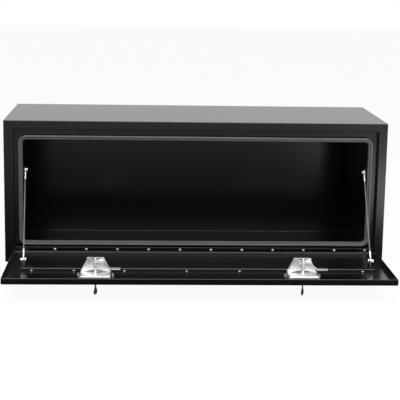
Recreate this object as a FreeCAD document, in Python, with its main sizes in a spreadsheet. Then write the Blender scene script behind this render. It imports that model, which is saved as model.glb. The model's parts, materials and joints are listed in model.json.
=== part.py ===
import FreeCAD, Part
import os
import re
import Sketcher

os.makedirs("parts", exist_ok=True)
Vector = FreeCAD.Vector
doc = FreeCAD.newDocument("truck_tool_box")

# Driving dimensions, in millimetres and degrees. The origin is the centre of the box's base,
# +X is to the right of someone who faces the open front, and -Y is towards that person.
dimensions = {
    # box shell and front frame
    "box_length": 1219,
    "box_depth": 457,
    "box_height": 457,
    "metal": 2,
    "bend": 4.5,
    "edge_round": 1.8,
    "panel_flange": 14,
    "frame_width": 27.5,
    "recess_depth": 20.5,
    # strips that carry the door seal, measured to the inner faces of their lips
    "opening_width": 1106,
    "opening_low": 66,
    "opening_high": 398,
    "lip_depth": 11.5,
    "lip_relief": 24,
    "strip_seam": 1,
    # door seal: a channel on the lip and a hollow bulb beside it
    "seal_channel": 6.2,
    "seal_slot": 2.2,
    "seal_front": 7,
    "seal_back": 19.5,
    "bulb_radius": 4.8,
    "bulb_bore": 3.2,
    "bulb_out": 7.4,
    "bulb_front": 2.4,
    "seal_corner": 16,
    # continuous hinge
    "pin_out": 4,
    "pin_height": 29.25,
    "pin_radius": 1.6,
    "pin_bore": 1.65,
    "pin_end": 1.5,
    "knuckle_radius": 3.2,
    "knuckle_pitch": 50,
    "knuckle_gap": 0.4,
    "frame_knuckles": 12,
    "door_knuckles": 11,
    "leaf_metal": 1.2,
    "leaf_near": 3.7,
    "leaf_far": 23,
    "leaf_offset": 0.55,
    "leaf_holes": 14.5,
    # rivets
    "rivet_pitch": 100,
    "rivet_radius": 2.4,
    "rivet_hole": 2.45,
    "rivet_head": 4.6,
    "rivet_dome": 2.2,
    "door_rivets": 12,
    "frame_rivets": 11,
    "panel_rivet_reach": 242.5,
    # door pan, measured from its hinge edge towards its free edge
    "door_width": 1155,
    "door_length": 395,
    "door_thickness": 19,
    "door_gap": 3.5,
    "corner_slit": 1.2,
    # raised inner panel of the door
    "panel_width": 1072,
    "panel_start": 42,
    "panel_end": 237,
    "panel_foot": 248,
    "panel_rise": 7.6,
    "panel_metal": 1.5,
    # T-handle latches, measured from the door's inner face at each spindle
    "latch_spacing": 618,
    "latch_reach": 300,
    "dish_width": 92,
    "dish_length": 78,
    "dish_rise": 9.5,
    "dish_metal": 1.5,
    "dish_corner": 9,
    "dish_flange": 10,
    "gasket_metal": 1,
    "stud_spread": 51,
    "stud_back": 9,
    "stud_radius": 2,
    "stud_rise": 7,
    "stud_hole": 2.3,
    "cutout_gap": 0.6,
    "cutout_corner": 2,
    "spindle_radius": 4.5,
    "spindle_bore": 4.58,
    "spindle_thread": 3.75,
    "spindle_shoulder": 42,
    "spindle_top": 55,
    "spindle_foot": -2,
    "yoke_metal": 2,
    "yoke_front": 11.5,
    "yoke_back": 32,
    "yoke_foot": 44.5,
    "yoke_foot_inner": 34,
    "yoke_neck": 25.6,
    "yoke_shoulder": 45,
    "yoke_horn": 53.6,
    "yoke_scallop": 46.6,
    "scallop_radius": 38,
    "yoke_arch": 16.5,
    "arch_radius": 96,
    "yoke_back_top": 49.3,
    "yoke_back_neck": 23.5,
    "yoke_back_bar": 4,
    "yoke_back_post": 7,
    "lug_height": 36,
    "lug_metal": 2.5,
    "lug_radius": 10,
    "cam_high": 45,
    "cam_low": 24,
    "cam_metal": 3,
    "cam_width": 20,
    "cam_reach": 74,
    "cam_bend": 22,
    "cam_knee": 34,
    "cam_knee_height": 31.5,
    "cam_foot": 45,
    "cam_bore": 3.8,
    "nut_height": 5,
    "nut_across": 13,
    "grip_length": 68,
    "grip_width": 14,
    "grip_low": -4,
    "grip_high": 6,
    "hub_radius": 12,
    "hub_low": -14,
    "plug_radius": 6.5,
    "plug_bore": 6.57,
    "plug_low": -15,
    "plug_high": -4,
    "plug_bore_high": -3.5,
    "keyway_width": 2.4,
    "keyway_length": 8,
    "key_metal": 2,
    "key_width": 7,
    "key_high": -5,
    "bow_radius": 10.25,
    "bow_height": -47,
    "bow_hole": 2.2,
    "left_key_angle": 64,
    "right_key_angle": 62,
    # door cables and what holds them
    "bracket_inner": 496,
    "bracket_outer": 528,
    "bracket_near": 180,
    "bracket_far": 226,
    "bracket_metal": 2,
    "foot_hole": 2.6,
    "hole_margin": 8,
    "slot_middle": 514,
    "slot_half": 6.5,
    "slot_start": 9,
    "slot_end": 14,
    "eye_reach": 206,
    "eye_rise": 26,
    "bracket_round": 9,
    "cable_low": 530.9,
    "cable_high": 543.2,
    "tab_inner": 546.8,
    "tab_outer": 575,
    "tab_low": 280,
    "tab_high": 310,
    "tab_depth": 42,
    "tab_round": 8,
    "anchor_depth": 32,
    "anchor_height": 295,
    "bolt_radius": 3,
    "bolt_hole": 3.1,
    "bolt_across": 10,
    "bolt_head": 4,
    "bolt_nut": 5,
    "eye_radius": 7.5,
    "eye_metal": 3,
    "eye_play": 0.4,
    "tongue_width": 6.5,
    "ferrule_radius": 3,
    "ferrule_start": 11,
    "ferrule_end": 36,
    "cable_radius": 1.75,
    "cable_socket": 16,
}

sheet = doc.addObject("Spreadsheet::Sheet", "Dims")
for row, (alias, number) in enumerate(dimensions.items(), start=1):
    sheet.set(f"A{row}", alias)
    sheet.set(f"B{row}", str(number))
    sheet.setAlias(f"B{row}", alias)
doc.recompute()

# Places that several pieces share, as expressions of the sheet
front = "(-box_depth / 2)"
pin_line = ("0", "-box_depth / 2 - pin_out", "pin_height")
hinge_length = "(knuckle_pitch * (frame_knuckles + door_knuckles))"
door_edge = "(-box_depth / 2 - pin_out - frame_width - door_gap + pin_height)"
door_floor = "(pin_height + pin_out + metal)"
door_place = ("0", door_edge, door_floor)
sides = {"left": -1, "right": 1}


# Sizes
def bound(expression):
    def cell(match):
        word = match.group()
        return "Dims." + word if word in dimensions else word
    return re.sub(r"[a-z_]+", cell, str(expression))


def amount(expression):
    return float(sheet.evalExpression(bound(expression)))


def put(item, place):
    for axis, expression in zip("xyz", place):
        item.setExpression("Placement.Base." + axis, bound(expression))


def turn(item, angle, axis=Vector(0, 0, 1)):
    item.Placement = FreeCAD.Placement(Vector(), FreeCAD.Rotation(axis, 1))
    item.setExpression("Placement.Rotation.Angle", bound(angle))


# Part primitives and booleans
def block(across, along, up):
    box = doc.addObject("Part::Box", "block")
    for name, (low, high) in zip(("Length", "Width", "Height"), (across, along, up)):
        box.setExpression(name, bound(f"({high}) - ({low})"))
    put(box, (across[0], along[0], up[0]))
    return box


def rod(radius, height, place, axis=None):
    cylinder = doc.addObject("Part::Cylinder", "rod")
    cylinder.setExpression("Radius", bound(radius))
    cylinder.setExpression("Height", bound(height))
    if axis:
        cylinder.Placement = FreeCAD.Placement(Vector(), FreeCAD.Rotation(Vector(0, 0, 1), axis))
    put(cylinder, place)
    return cylinder


def hexagon(across_flats, height, place, axis=None):
    prism = doc.addObject("Part::Prism", "hexagon")
    prism.Polygon = 6
    prism.setExpression("Circumradius", bound(f"{across_flats} / sqrt(3)"))
    prism.setExpression("Height", bound(height))
    if axis:
        prism.Placement = FreeCAD.Placement(Vector(), FreeCAD.Rotation(Vector(0, 0, 1), axis))
    put(prism, place)
    return prism


def joined(label, pieces):
    union = doc.addObject("Part::MultiFuse", label)
    union.Label = label
    union.Shapes = pieces
    union.Refine = True
    return union


def without(label, piece, tool):
    cut = doc.addObject("Part::Cut", label)
    cut.Label = label
    cut.Base = piece
    cut.Tool = tool
    return cut


def grouped(label, pieces):
    group = doc.addObject("Part::Compound", label)
    group.Label = label
    group.Links = pieces
    return group


# PartDesign bodies, sketches and features
def new_body(label, place=("0", "0", "0")):
    body = doc.addObject("PartDesign::Body", label)
    body.Label = label
    put(body, place)
    return body


def origin_item(body, role):
    return next(item for item in body.Origin.OriginFeatures if item.Role == role)


def new_sketch(body, plane, offset="0"):
    sketch = body.newObject("Sketcher::SketchObject", body.Label + "_sketch")
    sketch.AttachmentSupport = [(origin_item(body, plane + "_Plane"), "")]
    sketch.MapMode = "FlatFace"
    sketch.setExpression("AttachmentOffset.Base.z", bound(offset))
    return sketch


def lock(sketch, curve, point, x, y):
    for kind, expression in (("DistanceX", x), ("DistanceY", y)):
        rule = Sketcher.Constraint(kind, -1, 1, curve, point, amount(expression))
        index = sketch.addConstraint(rule)
        sketch.setExpression(f"Constraints[{index}]", bound(expression))


def polygon(sketch, corners):
    points = [Vector(amount(x), amount(y), 0) for x, y in corners]
    first = sketch.GeometryCount
    count = len(points)
    for index in range(count):
        sketch.addGeometry(Part.LineSegment(points[index], points[(index + 1) % count]))
    for index, (x, y) in enumerate(corners):
        following = first + (index + 1) % count
        sketch.addConstraint(Sketcher.Constraint("Coincident", first + index, 2, following, 1))
        lock(sketch, first + index, 1, x, y)


def rectangle(sketch, across, up):
    (left, right), (low, high) = across, up
    polygon(sketch, [(left, low), (right, low), (right, high), (left, high)])


def rounded_rectangle(sketch, half_width, half_height, radius, middle=("0", "0"), start_inside=False):
    x0, x1 = f"{middle[0]} - ({half_width})", f"{middle[0]} + {half_width}"
    y0, y1 = f"{middle[1]} - ({half_height})", f"{middle[1]} + {half_height}"
    corners = [
        (f"{x0} + {radius}", y0), (f"{x1} - {radius}", y0),
        (x1, f"{y0} + {radius}"), (x1, f"{y1} - {radius}"),
        (f"{x1} - {radius}", y1), (f"{x0} + {radius}", y1),
        (x0, f"{y1} - {radius}"), (x0, f"{y0} + {radius}"),
    ]
    if start_inside:
        corners.insert(3, (x1, middle[1]))
        corners = corners[3:] + corners[:3]
    arc_after = {1: (-1, 1), 3: (-1, -1), 5: (1, -1), 7: (1, 1)}
    if start_inside:
        arc_after = {1: (-1, -1), 3: (1, -1), 5: (1, 1), 7: (-1, 1)}
    points = [Vector(amount(x), amount(y), 0) for x, y in corners]
    first = sketch.GeometryCount
    count = len(points)
    size = amount(radius)
    for index, point in enumerate(points):
        after = points[(index + 1) % count]
        if index in arc_after:
            middle_way = (point + after) * 0.5
            inward = Vector(arc_after[index][0], arc_after[index][1], 0)
            bulge = middle_way + inward * (size * 0.5) - inward * (size * 0.5 ** 0.5)
            sketch.addGeometry(Part.Arc(point, bulge, after))
        else:
            sketch.addGeometry(Part.LineSegment(point, after))
    ends = {}
    for index in range(count):
        geometry = sketch.Geometry[first + index]
        flipped = (geometry.StartPoint - points[index]).Length > 1e-6
        ends[index] = (2, 1) if flipped else (1, 2)
    for index, (x, y) in enumerate(corners):
        after = (index + 1) % count
        sketch.addConstraint(Sketcher.Constraint(
            "Coincident", first + index, ends[index][1], first + after, ends[after][0]))
        lock(sketch, first + index, ends[index][0], x, y)
        if index in arc_after:
            rule = sketch.addConstraint(Sketcher.Constraint("Radius", first + index, size))
            sketch.setExpression(f"Constraints[{rule}]", bound(radius))


def circle(sketch, x, y, radius):
    centre = Vector(amount(x), amount(y), 0)
    curve = sketch.addGeometry(Part.Circle(centre, Vector(0, 0, 1), amount(radius)))
    lock(sketch, curve, 3, x, y)
    index = sketch.addConstraint(Sketcher.Constraint("Radius", curve, amount(radius)))
    sketch.setExpression(f"Constraints[{index}]", bound(radius))


def checked(body, feature):
    doc.recompute()
    if feature.Shape.isNull() or not feature.Shape.isValid():
        raise RuntimeError(f"{body.Label}: {feature.Name} failed")
    return feature


def pad(body, sketch, length, backwards=False):
    feature = body.newObject("PartDesign::Pad", body.Label + "_pad")
    feature.Profile = sketch
    feature.Reversed = backwards
    feature.setExpression("Length", bound(length))
    return checked(body, feature)


def pocket(body, sketch, length, backwards=False):
    volume = body.Shape.Volume
    feature = body.newObject("PartDesign::Pocket", body.Label + "_pocket")
    feature.Profile = sketch
    feature.Reversed = backwards
    feature.setExpression("Length", bound(length))
    checked(body, feature)
    if body.Shape.Volume > volume - 0.01:
        raise RuntimeError(f"{body.Label}: a pocket cut nothing")
    return feature


def revolved(body, sketch, axis):
    feature = body.newObject("PartDesign::Revolution", body.Label + "_revolution")
    feature.Profile = sketch
    feature.ReferenceAxis = (sketch, [axis])
    feature.Angle = 360
    return checked(body, feature)


def row(body, features, length, count):
    feature = body.newObject("PartDesign::LinearPattern", body.Label + "_row")
    feature.Originals = features
    feature.Direction = (origin_item(body, "X_Axis"), [""])
    feature.setExpression("Length", bound(length))
    feature.setExpression("Occurrences", bound(count))
    body.Tip = feature
    return checked(body, feature)


def fillet(body, radius, chosen):
    base = body.Tip
    names = [f"Edge{number}" for number, edge in enumerate(base.Shape.Edges, start=1) if chosen(edge)]
    if not names:
        raise RuntimeError(f"{body.Label}: no edge to round")
    feature = body.newObject("PartDesign::Fillet", body.Label + "_fillet")
    feature.Base = (base, names)
    feature.setExpression("Radius", bound(radius))
    return checked(body, feature)


def close_to(number, expression):
    return abs(number - amount(expression)) < 0.01


def lies_at(edge, axis, expression):
    box = edge.BoundBox
    low, high = getattr(box, axis + "Min"), getattr(box, axis + "Max")
    return close_to(low, expression) and close_to(high, expression)


def runs_along(edge, axis):
    box = edge.BoundBox
    spans = {name: getattr(box, name + "Length") for name in "XYZ"}
    return spans[axis] > 0.01 and all(spans[name] < 0.01 for name in "XYZ" if name != axis)


# Shell: one wrapped sheet for the top, back and base, and an end panel on each side
def make_wrap():
    body = new_body("body_wrap")
    near = f"{front} + metal"
    sketch = new_sketch(body, "YZ", "-box_length / 2 + metal")
    polygon(sketch, [
        (near, "0"), ("box_depth / 2", "0"), ("box_depth / 2", "box_height"), (near, "box_height"),
        (near, "box_height - metal"), ("box_depth / 2 - metal", "box_height - metal"),
        ("box_depth / 2 - metal", "metal"), (near, "metal"),
    ])
    pad(body, sketch, "box_length - 2 * metal")
    fillet(body, "bend", lambda edge: runs_along(edge, "X") and lies_at(edge, "Y", "box_depth / 2"))
    fillet(body, "bend - metal", lambda edge: runs_along(edge, "X")
           and lies_at(edge, "Y", "box_depth / 2 - metal"))
    return body


def make_end_panel(side, sign):
    body = new_body(side + "_end_panel")
    near = f"{front} + metal"
    flange = new_sketch(body, "YZ", f"{sign} * box_length / 2")
    polygon(flange, [
        (near, "metal"), ("box_depth / 2 - metal", "metal"),
        ("box_depth / 2 - metal", "box_height - metal"), (near, "box_height - metal"),
        (near, "box_height - 2 * metal"), ("box_depth / 2 - 2 * metal", "box_height - 2 * metal"),
        ("box_depth / 2 - 2 * metal", "2 * metal"), (near, "2 * metal"),
    ])
    pad(body, flange, "metal + panel_flange", backwards=sign > 0)
    fillet(body, "bend - metal", lambda edge: runs_along(edge, "X")
           and lies_at(edge, "Y", "box_depth / 2 - metal"))
    plate = new_sketch(body, "YZ", f"{sign} * box_length / 2")
    rectangle(plate, (near, "box_depth / 2"), ("0", "box_height"))
    pad(body, plate, "metal", backwards=sign > 0)
    fillet(body, "bend", lambda edge: runs_along(edge, "X") and lies_at(edge, "Y", "box_depth / 2"))
    return body


# Front frame: a flat face ring with return walls that form the door recess
def make_front_frame():
    body = new_body("front_frame", ("0", front, "0"))
    wall = "(box_length / 2 - frame_width)"
    low, high = "frame_width", "box_height - frame_width"
    face = new_sketch(body, "XZ")
    rectangle(face, ("-box_length / 2", "box_length / 2"), ("0", "box_height"))
    rectangle(face, (f"-{wall}", wall), (low, high))
    pad(body, face, "metal", backwards=True)
    walls = new_sketch(body, "XZ")
    rectangle(walls, (f"-{wall} - metal", f"{wall} + metal"), (f"{low} - metal", f"{high} + metal"))
    rectangle(walls, (f"-{wall}", wall), (low, high))
    pad(body, walls, "recess_depth", backwards=True)
    fillet(body, "edge_round", lambda edge: lies_at(edge, "Y", "0"))
    holes = new_sketch(body, "XY", "frame_width")
    circle(holes, "-rivet_pitch * (frame_rivets - 1) / 2", "leaf_holes - pin_out", "rivet_hole")
    hole = pocket(body, holes, "metal")
    row(body, [hole], "rivet_pitch * (frame_rivets - 1)", "frame_rivets")
    return body


# Strips behind the recess, each with a lip that the seal grips
def make_seal_strips():
    outer = "(box_length / 2 - frame_width + metal)"
    inner = "(opening_width / 2)"
    plate = (f"{front} + recess_depth", f"{front} + recess_depth + metal")
    lip = (f"{front} + recess_depth - lip_depth", f"{front} + recess_depth")
    long_lip = (f"-{inner} + lip_relief", f"{inner} - lip_relief")
    strips = []
    for name, low, high, lip_low in (
            ("bottom", "frame_width - metal", "opening_low", "opening_low - metal"),
            ("top", "opening_high", "box_height - frame_width + metal", "opening_high")):
        flat = block((f"-{outer}", outer), plate, (low, high))
        edge = block(long_lip, lip, (lip_low, f"{lip_low} + metal"))
        strips.append(joined(name + "_seal_strip", [flat, edge]))
    upright = ("opening_low + strip_seam", "opening_high - strip_seam")
    short_lip = ("opening_low + lip_relief", "opening_high - lip_relief")
    for side, sign in sides.items():
        across = (inner, outer) if sign > 0 else (f"-{outer}", f"-{inner}")
        thin = (inner, f"{inner} + metal") if sign > 0 else (f"-{inner} - metal", f"-{inner}")
        flat = block(across, plate, upright)
        edge = block(thin, lip, short_lip)
        strips.append(joined(side + "_seal_strip", [flat, edge]))
    return strips


# Door seal: the channel and its hollow bulb, swept round the opening
def make_seal():
    body = new_body("door_seal", ("0", front, "0"))
    lip_line = "opening_width / 2 + metal / 2"
    half_height = "(opening_high - opening_low) / 2 + metal / 2"
    middle = "(opening_high + opening_low) / 2"
    channel = new_sketch(body, "XY", middle)
    out, slot = "seal_channel / 2", "seal_slot / 2"
    lip_front = "recess_depth - lip_depth - 0.1"
    polygon(channel, [
        (f"{lip_line} - {out}", "seal_back"), (f"{lip_line} - {out}", "seal_front"),
        (f"{lip_line} + {out}", "seal_front"), (f"{lip_line} + {out}", "seal_back"),
        (f"{lip_line} + {slot}", "seal_back"), (f"{lip_line} + {slot}", lip_front),
        (f"{lip_line} - {slot}", lip_front), (f"{lip_line} - {slot}", "seal_back"),
    ])
    bulb = new_sketch(body, "XY", middle)
    circle(bulb, f"{lip_line} + bulb_out", "bulb_front + bulb_radius", "bulb_radius")
    bore = new_sketch(body, "XY", middle)
    circle(bore, f"{lip_line} + bulb_out", "bulb_front + bulb_radius", "bulb_bore")
    for profile, kind in ((channel, "Additive"), (bulb, "Additive"), (bore, "Subtractive")):
        path = new_sketch(body, "XZ")
        rounded_rectangle(path, lip_line, half_height, "seal_corner", ("0", middle), True)
        doc.recompute()
        sweep = body.newObject(f"PartDesign::{kind}Pipe", f"seal_{kind.lower()}_sweep")
        sweep.Profile = profile
        sweep.Spine = (path, [])
        checked(body, sweep)
    return body


# Continuous hinge: two leaves with alternate knuckles on one pin
def make_leaf(label, plate_across, plate_up, tab_across, tab_up, first, count, hole_plane):
    body = new_body(label, pin_line)
    plate = new_sketch(body, "YZ", f"-{hinge_length} / 2")
    rectangle(plate, plate_across, plate_up)
    pad(body, plate, hinge_length)
    start = f"-{hinge_length} / 2 + {first} * knuckle_pitch + knuckle_gap / 2"
    tab = new_sketch(body, "YZ", start)
    rectangle(tab, tab_across, tab_up)
    tab_pad = pad(body, tab, "knuckle_pitch - knuckle_gap")
    barrel = new_sketch(body, "YZ", start)
    circle(barrel, "0", "0", "knuckle_radius")
    barrel_pad = pad(body, barrel, "knuckle_pitch - knuckle_gap")
    row(body, [tab_pad, barrel_pad], f"knuckle_pitch * 2 * ({count} - 1)", count)
    bore = new_sketch(body, "YZ", f"-{hinge_length} / 2")
    circle(bore, "0", "0", "pin_bore")
    pocket(body, bore, hinge_length, backwards=True)
    plane, offset, hole_count, up, backwards = hole_plane
    holes = new_sketch(body, plane, offset)
    circle(holes, f"-rivet_pitch * ({hole_count} - 1) / 2", up, "rivet_hole")
    hole = pocket(body, holes, "leaf_metal", backwards=backwards)
    row(body, [hole], f"rivet_pitch * ({hole_count} - 1)", hole_count)
    return body


def make_hinge():
    flat = ("-leaf_offset - leaf_metal", "-leaf_offset")
    frame_leaf = make_leaf(
        "hinge_frame_leaf", ("leaf_near", "leaf_far"), flat, ("0", "leaf_near"), flat,
        0, "frame_knuckles", ("XY", "-leaf_offset", "frame_rivets", "leaf_holes", False))
    door_leaf = make_leaf(
        "hinge_door_leaf", flat, ("leaf_near", "leaf_far"), flat, ("0", "leaf_near"),
        1, "door_knuckles", ("XZ", "leaf_offset", "door_rivets", "leaf_holes", True))
    pin_length = f"{hinge_length} + 2 * pin_end"
    pin = rod("pin_radius", pin_length, (f"-({pin_length}) / 2",) + pin_line[1:], Vector(1, 0, 0))
    pin.Label = "hinge_pin"
    return [frame_leaf, door_leaf, pin]


# Domed rivets: a shank of the given grip under a head that stands on the near sheet
def make_rivets(label, place, plane, grip, count, heads_down):
    body = new_body(label, place)
    sketch = new_sketch(body, plane)
    up = "-1" if heads_down else "1"
    polygon(sketch, [
        ("0", f"{up} * -({grip})"), ("rivet_radius", f"{up} * -({grip})"), ("rivet_radius", "0"),
        ("rivet_head", "0"), ("rivet_head * 0.85", f"{up} * rivet_dome * 0.55"),
        ("rivet_head * 0.5", f"{up} * rivet_dome * 0.9"), ("0", f"{up} * rivet_dome"),
    ])
    one = revolved(body, sketch, "V_Axis")
    if count:
        row(body, [one], f"rivet_pitch * ({count} - 1)", count)
    return body


def make_hinge_rivets():
    frame_start = "-rivet_pitch * (frame_rivets - 1) / 2"
    frame_set = make_rivets(
        "frame_leaf_rivets", (frame_start, f"{front} + leaf_holes - pin_out", "frame_width - metal"),
        "XZ", "metal + leaf_metal", "frame_rivets", True)
    door_start = "-rivet_pitch * (door_rivets - 1) / 2"
    door_set = make_rivets(
        "door_leaf_rivets", (door_start, f"{door_edge} - metal", "pin_height + leaf_holes"),
        "XY", "metal + leaf_metal", "door_rivets", True)
    return [frame_set, door_set]


# Door pan with four upturned flanges, drawn as it lies open: its floor is at z = 0 here
def make_door_pan():
    body = new_body("door_pan", door_place)
    half = "door_width / 2"
    blank = new_sketch(body, "XY", "-metal")
    rectangle(blank, (f"-{half}", half), ("-door_length", "0"))
    pad(body, blank, "door_thickness")
    fillet(body, "bend", lambda edge: lies_at(edge, "Z", "-metal"))
    hollow = new_sketch(body, "XY", "door_thickness - metal")
    rectangle(hollow, (f"-{half} + metal", f"{half} - metal"), ("-door_length + metal", "-metal"))
    pocket(body, hollow, "door_thickness - metal")
    fillet(body, "bend - metal", lambda edge: lies_at(edge, "Z", "0"))
    slits = new_sketch(body, "XY", "door_thickness - metal")
    for x in (f"-{half}", f"{half} - metal - 0.5"):
        for y in ("-door_length + metal", "-metal - corner_slit"):
            rectangle(slits, (x, f"{x} + metal + 0.5"), (y, f"{y} + corner_slit"))
    pocket(body, slits, "door_thickness - bend - metal")
    for sign in sides.values():
        cutout = new_sketch(body, "XY")
        centre = (f"{sign} * latch_spacing / 2", "-latch_reach")
        rounded_rectangle(cutout, "dish_width / 2 + cutout_gap", "dish_length / 2 + cutout_gap",
                          "cutout_corner", centre)
        for stud in (-1, 1):
            circle(cutout, f"{centre[0]} + {stud} * stud_spread", f"{centre[1]} + stud_back", "stud_hole")
        pocket(body, cutout, "metal")
    holes = new_sketch(body, "XZ")
    circle(holes, "-rivet_pitch * (door_rivets - 1) / 2", "leaf_holes - pin_out - metal", "rivet_hole")
    hole = pocket(body, holes, "metal", backwards=True)
    row(body, [hole], "rivet_pitch * (door_rivets - 1)", "door_rivets")
    return body


# Raised inner panel: a shallow pressing with a riveted foot towards the free edge
panel_rivets = (-503, -376, -224, -36, 124, 500)


def make_inner_panel():
    body = new_body("door_inner_panel", door_place)
    half = "panel_width / 2"
    raised = new_sketch(body, "XY")
    rectangle(raised, (f"-{half}", half), ("-panel_end", "-panel_start"))
    pad(body, raised, "panel_rise")
    fillet(body, "panel_metal + 1", lambda edge: lies_at(edge, "Z", "panel_rise"))
    under = new_sketch(body, "XY")
    rectangle(under, (f"-{half} + panel_metal", f"{half} - panel_metal"),
              ("-panel_end + panel_metal", "-panel_start - panel_metal"))
    pocket(body, under, "panel_rise - panel_metal", backwards=True)
    foot = new_sketch(body, "XY")
    rectangle(foot, (f"-{half}", half), ("-panel_foot", "-panel_end + 0.5"))
    for x in panel_rivets:
        circle(foot, str(x), "-panel_rivet_reach", "rivet_hole")
    pad(body, foot, "panel_metal")
    return body


def make_panel_rivets():
    pieces = []
    place = ("0", f"{door_edge} - panel_rivet_reach", f"{door_floor} + panel_metal")
    for index, x in enumerate(panel_rivets):
        single = make_rivets(f"panel_rivet_{index}", (str(x),) + place[1:], "XZ", "panel_metal", None, False)
        pieces.append(single)
    return grouped("inner_panel_rivets", pieces)


# Cable brackets on the panel, and tabs behind the seal strips
def make_cable_bracket(side, sign):
    body = new_body(side + "_cable_bracket", door_place)
    base = "(panel_rise + bracket_metal)"
    across = ("bracket_inner", "bracket_outer") if sign > 0 else ("-bracket_outer", "-bracket_inner")
    foot = new_sketch(body, "XY", "panel_rise")
    rectangle(foot, across, ("-bracket_far", "-bracket_near"))
    circle(foot, f"{sign} * (bracket_inner + hole_margin)", "-bracket_near - hole_margin", "foot_hole")
    rectangle(foot, (f"{sign} * slot_middle - slot_half", f"{sign} * slot_middle + slot_half"),
              ("-bracket_far + slot_start", "-bracket_far + slot_end"))
    pad(body, foot, "bracket_metal")
    upright = new_sketch(body, "YZ", f"{sign} * bracket_outer")
    polygon(upright, [
        ("-bracket_near", "panel_rise"), ("-bracket_near", base), ("-eye_reach + bracket_round", "eye_rise"),
        ("-eye_reach + bracket_round * 0.7", "eye_rise + bracket_round * 0.7"),
        ("-eye_reach", "eye_rise + bracket_round"),
        ("-eye_reach - bracket_round * 0.7", "eye_rise + bracket_round * 0.7"),
        ("-eye_reach - bracket_round", "eye_rise"), ("-bracket_far", base), ("-bracket_far", "panel_rise"),
    ])
    circle(upright, "-eye_reach", "eye_rise", "bolt_hole")
    pad(body, upright, "bracket_metal", backwards=sign > 0)
    return body


def make_cable_tab(side, sign):
    body = new_body(side + "_cable_tab", ("0", front, "0"))
    behind = "(recess_depth + metal)"
    across = ("tab_inner", "tab_outer") if sign > 0 else ("-tab_outer", "-tab_inner")
    flat = new_sketch(body, "XZ", f"-{behind}")
    rectangle(flat, across, ("tab_low", "tab_high"))
    pad(body, flat, "metal", backwards=True)
    ear = new_sketch(body, "YZ", f"{sign} * tab_inner")
    rectangle(ear, (behind, "tab_depth"), ("tab_low", "tab_high"))
    circle(ear, "anchor_depth", "anchor_height", "bolt_hole")
    pad(body, ear, "metal", backwards=sign < 0)
    fillet(body, "tab_round", lambda edge: runs_along(edge, "X") and lies_at(edge, "Y", "tab_depth"))
    return body


def make_bolt_pair(label, inner, grip, along, up):
    pieces = []
    for side, sign in sides.items():
        outward = Vector(sign, 0, 0)
        head = hexagon("bolt_across", "bolt_head", (f"{sign} * (({inner}) - bolt_head)", along, up), outward)
        shank = rod("bolt_radius", f"({grip}) + bolt_nut + 1", (f"{sign} * ({inner})", along, up), outward)
        pieces.append(joined(f"{label}_{side}", [head, shank]))
    return grouped(label, pieces)


def make_nut_pair(label, inner, along, up):
    pieces = []
    for side, sign in sides.items():
        outward = Vector(sign, 0, 0)
        place = (f"{sign} * ({inner})", along, up)
        blank = hexagon("bolt_across", "bolt_nut", place, outward)
        thread = rod("bolt_radius + 0.02", "bolt_nut", place, outward)
        pieces.append(without(f"{label}_{side}", blank, thread))
    return grouped(label, pieces)


def make_cable_hardware():
    eye_y, eye_z = f"{door_edge} - eye_reach", f"{door_floor} + eye_rise"
    anchor_y = f"{front} + anchor_depth"
    half_eye = "eye_metal / 2"
    low_end = f"(cable_low + {half_eye} + eye_play)"
    low_grip = f"{low_end} - bracket_outer + bracket_metal"
    high_start = f"(cable_high - {half_eye} - eye_play)"
    high_grip = f"tab_inner + metal - ({high_start})"
    return [
        make_bolt_pair("bracket_bolts", "bracket_outer - bracket_metal", low_grip, eye_y, eye_z),
        make_nut_pair("bracket_nuts", low_end, eye_y, eye_z),
        make_bolt_pair("tab_bolts", high_start, high_grip, anchor_y, "anchor_height"),
        make_nut_pair("tab_nuts", "tab_inner + metal", anchor_y, "anchor_height"),
    ]


# Door cables: a straight wire rope held in a swaged eye at each end
def make_cable(side, sign):
    high = Vector(sign * amount("cable_high"), amount(f"{front} + anchor_depth"), amount("anchor_height"))
    low = Vector(sign * amount("cable_low"), amount(f"{door_edge} - eye_reach"),
                 amount(f"{door_floor} + eye_rise"))
    line = low - high
    print(side, "cable, eye to eye:", round(line.Length, 1))
    line.normalize()
    start, end = amount("ferrule_start"), amount("ferrule_end")
    socket, wire = amount("cable_socket"), amount("cable_radius")
    sideways = Vector(1, 0, 0)
    eyes = []
    for point, direction in ((high, line), (low, line * -1)):
        metal, width = amount("eye_metal"), amount("tongue_width")
        ring = Part.makeCylinder(amount("eye_radius"), metal, point - sideways * (metal / 2), sideways)
        tongue = Part.makeBox(start + 2, width, metal)
        across = sideways.cross(direction)
        lie = FreeCAD.Placement(point, FreeCAD.Rotation(direction, across, sideways, "XZY"))
        tongue.Placement = lie * FreeCAD.Placement(Vector(0, -width / 2, -metal / 2), FreeCAD.Rotation())
        ferrule = Part.makeCylinder(amount("ferrule_radius"), end - start, point + direction * start, direction)
        hole = Part.makeCylinder(amount("bolt_hole"), metal * 2, point - sideways * metal, sideways)
        inside = Part.makeCylinder(wire + 0.02, socket, point + direction * (end - socket), direction)
        eyes.append(ring.fuse([tongue, ferrule]).cut([hole, inside]).removeSplitter())
    ends = doc.addObject("Part::Feature", side + "_cable_ends")
    ends.Label = side + "_cable_ends"
    ends.Shape = Part.makeCompound([eye.Solids[0] for eye in eyes])
    reach = (low - high).Length - 2 * (end - socket)
    rope = doc.addObject("Part::Feature", side + "_cable")
    rope.Label = side + "_cable"
    rope.Shape = Part.makeCylinder(wire, reach, high + line * (end - socket), line)
    return [ends, rope]


# T-handle latch, drawn about its spindle axis with the door's inner face at z = 0
def latch_place(sign):
    return (f"{sign} * latch_spacing / 2", f"{door_edge} - latch_reach", door_floor)


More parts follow.
